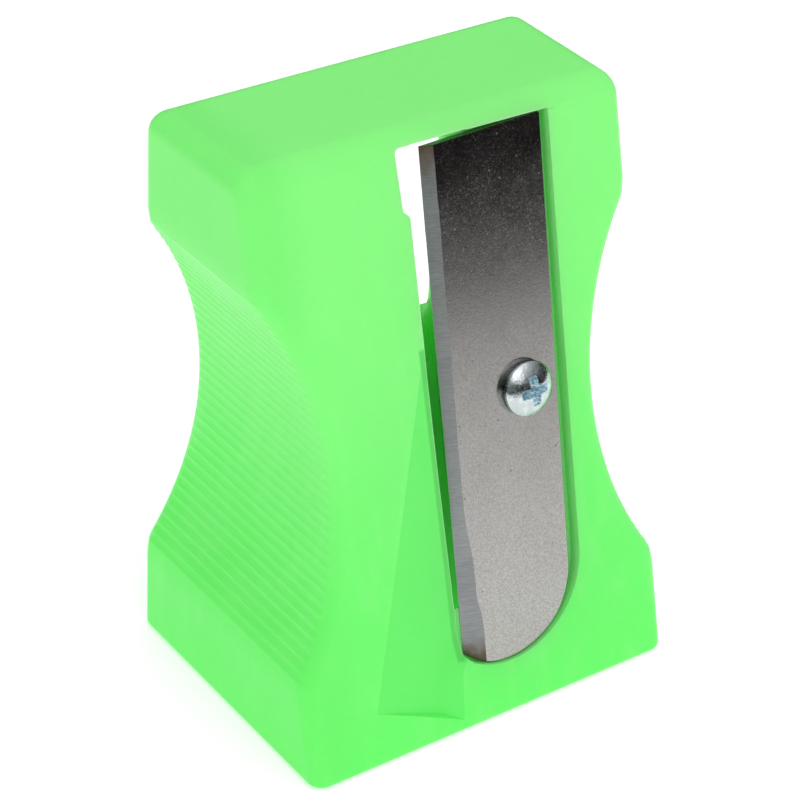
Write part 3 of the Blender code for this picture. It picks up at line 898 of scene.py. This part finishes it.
def screw_profile():
    """(radius, height, thread share) from the point up to the crown of the head."""
    tip = BLADE_THICKNESS - SCREW_LENGTH
    rows = [(SCREW_TIP_SHARE * THREAD_ROOT, tip, 0.0)]
    count = int((SCREW_LENGTH - BLADE_THICKNESS) / THREAD_PITCH * THREAD_STEPS_PER_TURN)
    for step in range(1, count):
        z = tip + (SCREW_LENGTH - BLADE_THICKNESS) * step / count
        taper = min((z - tip) / SCREW_POINT, 1.0)
        run_out = min(-z / THREAD_PITCH, 1.0)
        root = THREAD_ROOT * (SCREW_POINT_SHARE + (1.0 - SCREW_POINT_SHARE) * taper)
        rows.append((root, z, taper * run_out))
    seat = BLADE_THICKNESS + SEAT_GAP
    rows.append((THREAD_ROOT, seat, 0.0))
    rows.append((HEAD_NECK_RADIUS - HEAD_UNDER_INSET, seat, 0.0))
    rows.append((HEAD_NECK_RADIUS, seat + HEAD_UNDER_RISE, 0.0))
    flare_z = seat + HEAD_WALL_FLARE_RISE * HEAD_WALL
    rows.append((HEAD_NECK_RADIUS + HEAD_WALL_FLARE, flare_z, 0.0))
    half_angle = math.asin(HEAD_RADIUS / HEAD_SPHERE)
    for step in range(RIM_STEPS + 1):
        angle = (0.5 * math.pi - half_angle) * step / RIM_STEPS
        fall = HEAD_RIM_ROUND * (math.cos(half_angle) - math.sin(angle))
        out = HEAD_RIM_ROUND * (1.0 - math.cos(angle))
        rows.append((HEAD_RADIUS - HEAD_RIM_DRAW * out, seat + HEAD_WALL - fall, 0.0))
    start = half_angle * HEAD_DOME_START
    for step in range(DOME_STEPS):
        angle = start * (1.0 - step / DOME_STEPS)
        rise = HEAD_SPHERE * (math.cos(angle) - math.cos(half_angle))
        rows.append((HEAD_SPHERE * math.sin(angle), seat + HEAD_WALL + rise, 0.0))
    return rows


def screw_blank():
    """Screw with a helical thread under a tall pan head."""
    loops = []
    for radius, z, share in screw_profile():
        loop = []
        for angle in full_turn(SCREW_SIDES):
            ridge = share * thread_ridge(z, angle) * (THREAD_RADIUS - THREAD_ROOT)
            reach = radius + ridge
            loop.append((reach * math.cos(angle), reach * math.sin(angle), z))
        loops.append(loop)
    return loft(loops)


def cross_cutter(turn):
    """One tapering bar of the cross recess in the screw's head."""
    loops = []
    for depth, reach, width in CROSS_SECTIONS:
        x = reach * CROSS_REACH
        y = 0.5 * width * CROSS_WIDTH
        corner = min(CROSS_END_CORNER * y, 0.5 * x)
        lower = [(-x, -y + corner), (-x + corner, -y), (x - corner, -y), (x, -y + corner)]
        upper = [(x, y - corner), (x - corner, y), (-x + corner, y), (-x, y - corner)]
        loops.append([(px, py, HEAD_CROWN - depth * CROSS_DEPTH) for px, py in lower + upper])
    item = new_object("cross_cutter", loft(loops))
    item.rotation_euler = (0.0, 0.0, turn)
    return item


def make_screw():
    """The blade's screw, its origin on its own axis."""
    screw = new_object("cross_head_screw", screw_blank())
    for turn in (CROSS_TURN, CROSS_TURN + 0.5 * math.pi):
        subtract(screw, cross_cutter(turn))
    smooth_by_face_size(screw)
    screw.matrix_world = face_matrix(SCREW_X, SCREW_UP, -SEAT_DEPTH)
    return screw


# --- materials


class Finish:
    """A Principled material and short ways of adding its texture nodes."""

    def __init__(self, name, **constants):
        """Constants name the shader's own sockets; underscores stand for spaces."""
        self.material = bpy.data.materials.new(name)
        self.material.use_nodes = True
        self.tree = self.material.node_tree
        self.shader = self.tree.nodes["Principled BSDF"]
        self.place = self.tree.nodes.new("ShaderNodeTexCoord").outputs["Object"]
        for socket, value in constants.items():
            self.shader.inputs[socket.replace("_", " ")].default_value = value

    def link(self, source, target):
        """Join an output to an input."""
        self.tree.links.new(source, target)

    def feed(self, socket, source):
        """Join an output to one of the shader's inputs."""
        self.link(source, self.shader.inputs[socket])

    def stretched(self, scale):
        """Object coordinates scaled unevenly, for grain that runs one way."""
        node = self.tree.nodes.new("ShaderNodeMapping")
        node.inputs["Scale"].default_value = scale
        self.link(self.place, node.inputs["Vector"])
        return node.outputs["Vector"]

    def noise(self, size, detail=2.0, place=None, roughness=0.5):
        """Noise whose features are about the given size across."""
        node = self.tree.nodes.new("ShaderNodeTexNoise")
        node.inputs["Scale"].default_value = 1.0 / size
        node.inputs["Detail"].default_value = detail
        node.inputs["Roughness"].default_value = roughness
        self.link(place or self.place, node.inputs["Vector"])
        return node.outputs["Fac"]

    def uneven(self, size, detail, low, high):
        """Noise spread between two values."""
        return self.spread(self.noise(size, detail), low, high)

    def spread(self, noise, low, high):
        """Stretch a noise's usual range to another one."""
        return self.remap(noise, NOISE_LOW, NOISE_HIGH, low, high)

    def cells(self, size):
        """Voronoi cells of the given size: distance to the centre, and a colour per cell."""
        node = self.tree.nodes.new("ShaderNodeTexVoronoi")
        node.inputs["Scale"].default_value = 1.0 / size
        self.link(self.place, node.inputs["Vector"])
        return node.outputs["Distance"], node.outputs["Color"]

    def remap(self, source, low, high, to_low, to_high):
        """Stretch a value from one range to another, without going past its ends."""
        node = self.tree.nodes.new("ShaderNodeMapRange")
        node.interpolation_type = "SMOOTHSTEP"
        ends = {"From Min": low, "From Max": high, "To Min": to_low, "To Max": to_high}
        for name, value in ends.items():
            node.inputs[name].default_value = value
        self.link(source, node.inputs["Value"])
        return node.outputs["Result"]

    def math(self, operation, first, second):
        """Combine two values, either of which may be a plain number."""
        node = self.tree.nodes.new("ShaderNodeMath")
        node.operation = operation
        for socket, value in zip(node.inputs, (first, second)):
            if isinstance(value, (int, float)):
                socket.default_value = value
            else:
                self.link(value, socket)
        return node.outputs["Value"]

    def times(self, first, *others):
        """Product of several values."""
        for other in others:
            first = self.math("MULTIPLY", first, other)
        return first

    def slanted(self, lean):
        """X moved over in proportion to the height."""
        return self.math("ADD", self.axis("X"), self.times(self.axis("Z"), lean))

    def axis(self, letter):
        """One object coordinate as a value."""
        node = self.tree.nodes.new("ShaderNodeSeparateXYZ")
        self.link(self.place, node.inputs["Vector"])
        return node.outputs[letter]

    def below_face(self, start, stop):
        """One between two depths below the sloping face, nought elsewhere."""
        node = self.tree.nodes.new("ShaderNodeVectorMath")
        node.operation = "DOT_PRODUCT"
        inwards = face_point(0.0, 0.0, -1.0) - face_point(0.0, 0.0, 0.0)
        node.inputs[1].default_value = inwards
        self.link(self.place, node.inputs[0])
        surface = inwards.dot(face_point(0.0, 0.0, 0.0))
        along = node.outputs["Value"]
        begun = self.remap(along, surface + start, surface + 2.5 * start, 0.0, 1.0)
        ended = self.remap(along, surface + stop, surface + stop + start, 1.0, 0.0)
        return self.times(begun, ended)

    def between(self, letter, low, high):
        """One between two places along an axis, nought elsewhere."""
        value = self.axis(letter)
        begun = self.remap(value, low - BORDER, low + BORDER, 0.0, 1.0)
        ended = self.remap(value, high - BORDER, high + BORDER, 1.0, 0.0)
        return self.times(begun, ended)

    def hairlines(self, pitch, turn, width):
        """Short, thin and nearly straight lines that cross the piece at an angle."""
        node = self.tree.nodes.new("ShaderNodeVectorMath")
        node.operation = "DOT_PRODUCT"
        node.inputs[1].default_value = (math.cos(turn) / pitch, math.sin(turn) / pitch, 0.0)
        self.link(self.place, node.inputs[0])
        wander = self.times(self.noise(3.0 * pitch, 1.0), HAIRLINE_WANDER)
        place = self.math("FRACT", self.math("ADD", node.outputs["Value"], wander), 0.0)
        from_middle = self.math("ABSOLUTE", self.math("SUBTRACT", place, 0.5), 0.0)
        line = self.remap(from_middle, HAIRLINE_CORE * width / pitch, width / pitch, 1.0, 0.0)
        shown = self.remap(self.noise(0.7 * pitch, 2.0), *HAIRLINE_SHOWN, 0.0, 1.0)
        return self.times(line, shown)

    def blend(self, share, first, second):
        """Mix two colours, either of which may be a plain tuple."""
        node = self.tree.nodes.new("ShaderNodeMix")
        node.data_type = "RGBA"
        self.link(share, node.inputs["Factor"])
        for name, value in (("A", first), ("B", second)):
            sockets = [s for s in node.inputs if s.name == name and s.type == "RGBA"]
            if isinstance(value, tuple):
                sockets[0].default_value = (*value, 1.0)
            else:
                self.link(value, sockets[0])
        return next(s for s in node.outputs if s.type == "RGBA")

    def bump(self, height, distance, below=None):
        """Fine relief, on top of another one if given."""
        node = self.tree.nodes.new("ShaderNodeBump")
        node.inputs["Strength"].default_value = 1.0
        node.inputs["Distance"].default_value = distance
        self.link(height, node.inputs["Height"])
        if below:
            self.link(below, node.inputs["Normal"])
        return node.outputs["Normal"]


def green_plastic():
    """Translucent neon-green moulding: cloudy colour with painted light and shade, faint flow
    marks and a satin skin.
    """
    finish = Finish(
        "neon_green_plastic",
        IOR=1.49,
        Subsurface_Weight=0.5,
        Subsurface_Radius=(0.5, 1.0, 0.5),
        Subsurface_Scale=2.0 * MM,
        Subsurface_Anisotropy=0.0,
        Specular_IOR_Level=0.2,
    )
    # Painted light: the green turns paler towards the top, in a cloudy pattern
    cloud = finish.times(finish.noise(5.0 * MM, 3.0), 9.0 * MM)
    height = finish.math("ADD", finish.axis("Z"), cloud)
    rising = finish.remap(height, 5.0 * MM, 30.0 * MM, 0.0, 1.0)
    colour = finish.blend(rising, GREEN_LOW, GREEN_HIGH)
    flow = finish.noise(1.2 * MM, 4.0, finish.stretched((1.0, 1.0, 0.25)))
    streak = finish.remap(flow, 0.45, 0.7, 0.0, 0.3)
    colour = finish.blend(streak, colour, GREEN_STREAK)
    # Painted shade: the left side a little darker
    shaded = finish.remap(finish.axis("X"), *SIDE_PAINTED_SHADE, 0.35, 0.0)
    colour = finish.blend(shaded, colour, GREEN_SIDE_SHADE)
    # Painted shade: the ramp's floor a deeper green
    ramp = finish.times(
        finish.between("X", *RAMP_SHADE_X),
        finish.remap(finish.slanted(RAMP_SHADE_LEAN), *RAMP_SHADE_EDGE, 0.0, 1.0),
        finish.below_face(*RAMP_SHADE_DEPTH),
        finish.between("Z", *RAMP_SHADE_Z),
        RAMP_SHADE,
    )
    colour = finish.blend(ramp, colour, GREEN_RAMP_SHADE)
    # Painted shade: a dark strip along the lip beside the slot
    lip = finish.times(
        finish.remap(finish.slanted(LIP_SHADE_LEAN), *LIP_SHADE_EDGE, 0.0, LIP_SHADE),
        finish.between("X", *LIP_SHADE_X),
        finish.between("Z", *LIP_SHADE_Z),
    )
    colour = finish.blend(lip, colour, GREEN_LIP_SHADE)
    # Painted shade: the blade's seat a greyer, mottled green
    seat_shade = finish.times(
        finish.below_face(*SEAT_SHADE_DEPTH),
        finish.between("X", *SEAT_SHADE_X),
        finish.between("Z", *SEAT_SHADE_Z),
        finish.spread(flow, 0.4, 0.65),
    )
    colour = finish.blend(seat_shade, colour, GREEN_SEAT_SHADE)
    finish.feed("Base Color", colour)
    finish.feed("Roughness", finish.uneven(2.5 * MM, 4.0, 0.30, 0.42))
    skin = finish.bump(finish.noise(0.16 * MM, 3.0), 0.0025 * MM)
    finish.feed("Normal", finish.bump(finish.noise(3.0 * MM, 1.0), 0.02 * MM, skin))
    return finish.material


def satin_steel():
    """Blade's flat face: satin steel with fine grain, hairline scratches, dust specks and painted
    dark reflections at its top end.
    """
    finish = Finish("satin_blade_steel", Metallic=1.0)
    # Painted reflection: the face turns darker towards the blade's top end
    uneven = finish.times(finish.noise(4.0 * MM, 2.0), 6.0 * MM)
    height = finish.math("ADD", finish.axis("Y"), uneven)
    rising = finish.remap(height, -9.0 * MM, 4.0 * MM, 1.0, 0.0)
    colour = finish.blend(rising, STEEL_TOP, STEEL_LOW)
    # Painted reflection: a near-black patch at the blade's top end
    dark_reflection = finish.remap(height, 11.9 * MM, 14.2 * MM, 0.0, 0.93)
    colour = finish.blend(dark_reflection, colour, STEEL_DARK_REFLECTION)
    grain = finish.remap(finish.noise(0.085 * MM, 3.0, None, 0.75), 0.38, 0.62, 0.0, 1.0)
    colour = finish.blend(finish.times(grain, 0.55), colour, STEEL_GRAIN)
    pepper = finish.remap(finish.noise(0.14 * MM, 2.0, None, 0.8), 0.5, 0.72, 0.0, 0.09)
    distance, tint = finish.cells(0.5 * MM)
    near = finish.remap(distance, 0.06, 0.12, 1.0, 0.0)
    separate = finish.tree.nodes.new("ShaderNodeSeparateColor")
    finish.link(tint, separate.inputs["Color"])
    chosen = finish.remap(separate.outputs["Red"], 0.5, 0.95, 0.0, 1.0)
    speck = finish.times(near, chosen)
    finish.feed("Base Color", colour)

    scratch = finish.math(
        "MAXIMUM",
        finish.hairlines(1.7 * MM, 0.6, 0.022 * MM),
        finish.hairlines(2.1 * MM, -0.4, 0.018 * MM),
    )
    marks = finish.math("MAXIMUM", finish.times(scratch, 0.18), speck)
    rough = finish.math("ADD", finish.uneven(1.1 * MM, 4.0, 0.15, 0.175), pepper)
    finish.feed("Roughness", finish.math("ADD", rough, finish.times(marks, 0.5)))
    finish.feed("Normal", finish.bump(grain, 0.0003 * MM))
    return finish.material


def ground_steel():
    """Ground bevel: fine lines across the edge, darker and browner at its two ends."""
    finish = Finish("ground_bevel_steel", Metallic=1.0)
    lines = finish.noise(0.35 * MM, 3.0, finish.stretched((0.25, 9.0, 1.0)), 0.7)
    colour = finish.blend(finish.spread(lines, 0.0, 1.0), GROUND_DARK, GROUND_LIGHT)
    height = finish.axis("Y")
    patchy = finish.times(finish.noise(0.6 * MM, 3.0), 1.2 * MM)
    ragged = finish.math("ADD", height, patchy)
    top = TOP_EDGE_TO_HOLE
    low = TOP_EDGE_TO_HOLE - BLADE_LENGTH
    # Darker and browner towards the bevel's top end
    darker_top = finish.remap(ragged, top - 1.2 * MM, top + 0.4 * MM, 0.0, 0.85)
    colour = finish.blend(darker_top, colour, GROUND_TOP_DARK)
    stained = finish.remap(ragged, low + 1.0 * MM, low + 2.4 * MM, 0.95, 0.0)
    colour = finish.blend(stained, colour, GROUND_STAIN)
    finish.feed("Base Color", colour)
    finish.feed("Roughness", finish.spread(lines, 0.34, 0.48))
    finish.feed("Normal", finish.bump(lines, 0.0025 * MM))
    return finish.material


def zinc_plate():
    """Bright zinc plating, slightly cool and mottled."""
    finish = Finish("bright_zinc_plate", Metallic=1.0)
    mottle = finish.uneven(0.35 * MM, 3.0, 0.0, 1.0)
    finish.feed("Base Color", finish.blend(mottle, ZINC_DARK, ZINC_LIGHT))
    finish.feed("Roughness", finish.uneven(0.22 * MM, 4.0, 0.17, 0.3))
    finish.feed("Normal", finish.bump(finish.noise(0.14 * MM, 4.0), 0.012 * MM))
    return finish.material


def blue_recess():
    """Inside of the cross recess: the plating's blue tint, mottled up to pale painted highlights.
    """
    finish = Finish("blue_zinc_recess", Metallic=0.5)
    # Painted highlights: the mottle runs from the plating's blue up to near-white
    mottle = finish.remap(finish.noise(0.15 * MM, 3.0), 0.35, 0.65, 0.0, 1.0)
    finish.feed("Base Color", finish.blend(mottle, RECESS_DARK, RECESS_HIGHLIGHT))
    finish.feed("Roughness", finish.remap(mottle, 0.0, 1.0, 0.15, 0.3))
    finish.feed("Normal", finish.bump(finish.noise(0.12 * MM, 3.0), 0.02 * MM))
    return finish.material


def paint_recess(screw, plating, recess):
    """Give the walls and floor of the cross recess their bluer finish."""
    dress(screw, plating, recess)
    for face in screw.data.polygons:
        from_axis = face.center.xy.length
        outside = from_axis > RECESS_REACH * CROSS_REACH
        if outside or face.center.z < HEAD_CROWN - RECESS_DEPTH * CROSS_DEPTH:
            continue
        dome = HEAD_CROWN - HEAD_SPHERE + math.sqrt(HEAD_SPHERE**2 - from_axis**2)
        if face.center.z < dome - RECESS_START:
            face.material_index = 1


# --- stage


def floor_white():
    """Plain matt white for the floor."""
    finish = Finish(
        "floor_white",
        Base_Color=(FLOOR_WHITE, FLOOR_WHITE, FLOOR_WHITE, 1.0),
        Roughness=0.9,
        Specular_IOR_Level=0.1,
        Emission_Color=(1.0, 1.0, 1.0, 1.0),
        Emission_Strength=FLOOR_GLOW,
    )
    return finish.material


def floor_ring(name, inner, outer):
    """Flat disc or ring just under the base."""
    bm = bmesh.new()
    angles = full_turn(FLOOR_SIDES)
    rim = [bm.verts.new((outer * math.cos(a), outer * math.sin(a), FLOOR_Z)) for a in angles]
    if inner:
        hole = [bm.verts.new((inner * math.cos(a), inner * math.sin(a), FLOOR_Z)) for a in angles]
        for i in range(FLOOR_SIDES):
            j = (i + 1) % FLOOR_SIDES
            bm.faces.new((hole[i], rim[i], rim[j], hole[j]))
    else:
        bm.faces.new(rim)
    item = new_object(name, bm)
    return item


def make_floor():
    """Near floor that the steel mirrors, and a far floor that it doesn't."""
    white = floor_white()
    near = floor_ring("floor_near", 0.0, NEAR_FLOOR_RADIUS)
    far = floor_ring("floor_far", NEAR_FLOOR_RADIUS, FAR_FLOOR_RADIUS)
    far.visible_glossy = False
    for item in (near, far):
        dress(item, white)


def soft_light(name, azimuth, elevation, distance, size, power):
    """Square area light aimed at the middle of the object."""
    light = bpy.data.lights.new(name, "AREA")
    light.shape = "SQUARE"
    light.size = size
    light.energy = power
    item = placed(name, light)
    out = direction(math.radians(azimuth), math.radians(elevation))
    item.location = MIDDLE + distance * out
    item.rotation_euler = out.to_track_quat("Z", "Y").to_euler()


def direction(azimuth, elevation):
    """Unit vector towards a place seen from the object; azimuth 0 is in front of the face."""
    level = math.cos(elevation)
    return Vector((math.sin(azimuth) * level, -math.cos(azimuth) * level, math.sin(elevation)))


def make_world():
    """White surroundings, but a dim room around the horizon in mirror reflections."""
    world = bpy.data.worlds.new("white_studio")
    bpy.context.scene.world = world
    world.use_nodes = True
    tree = world.node_tree
    nodes, links = tree.nodes, tree.links
    background = nodes["Background"]
    path = nodes.new("ShaderNodeLightPath")
    seen = nodes.new("ShaderNodeMapRange")
    seen.inputs["To Min"].default_value = ROOM_BRIGHTNESS
    seen.inputs["To Max"].default_value = BACKDROP_BRIGHTNESS
    links.new(path.outputs["Is Camera Ray"], seen.inputs["Value"])
    links.new(seen.outputs["Result"], background.inputs["Strength"])
    place = nodes.new("ShaderNodeTexCoord")
    split = nodes.new("ShaderNodeSeparateXYZ")
    links.new(place.outputs["Generated"], split.inputs["Vector"])
    ramp = nodes.new("ShaderNodeValToRGB")
    for stop, (position, grey) in zip(ramp.color_ramp.elements, (MIRRORED_LOW, MIRRORED_HIGH)):
        stop.position = position
        stop.color = (grey, grey, grey, 1.0)
    links.new(split.outputs["Z"], ramp.inputs["Fac"])
    mix = nodes.new("ShaderNodeMix")
    mix.data_type = "RGBA"
    colours = [s for s in mix.inputs if s.type == "RGBA"]
    colours[0].default_value = (1.0, 1.0, 1.0, 1.0)
    links.new(path.outputs["Is Glossy Ray"], mix.inputs["Factor"])
    links.new(ramp.outputs["Color"], colours[1])
    links.new(next(s for s in mix.outputs if s.type == "RGBA"), background.inputs["Color"])


def make_camera():
    """Camera at its angle, turned a little about its own axis."""
    out = direction(CAMERA_AZIMUTH, CAMERA_ELEVATION)
    target = MIDDLE + CAMERA_AIM
    level_right = Vector((0.0, 0.0, 1.0)).cross(out).normalized()
    level_up = out.cross(level_right)
    right = math.cos(CAMERA_ROLL) * level_right + math.sin(CAMERA_ROLL) * level_up
    up = math.cos(CAMERA_ROLL) * level_up - math.sin(CAMERA_ROLL) * level_right
    data = bpy.data.cameras.new("camera")
    data.lens = CAMERA_LENS
    data.sensor_width = SENSOR_WIDTH
    data.clip_start = 1.0 * MM
    camera = placed("camera", data)
    turn = Matrix((right, up, out)).transposed().to_4x4()
    camera.matrix_world = Matrix.Translation(target + CAMERA_DISTANCE * out) @ turn
    bpy.context.scene.camera = camera


def main():
    """Build the pieces, tie them to the frame and light them."""
    bpy.context.scene.view_settings.view_transform = "Standard"
    body = make_body()
    dress(body, green_plastic())
    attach(body, "sharpener")
    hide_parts("sharpener_body")

    blade = make_blade()
    paint_bevel(blade, satin_steel(), ground_steel())
    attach(blade, "blade")
    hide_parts("blade")

    screw = make_screw()
    paint_recess(screw, zinc_plate(), blue_recess())
    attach(screw, "screw")
    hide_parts("blade_screw")

    make_floor()
    make_world()
    for settings in SOFT_LIGHTS:
        soft_light(*settings)
    make_camera()


main()
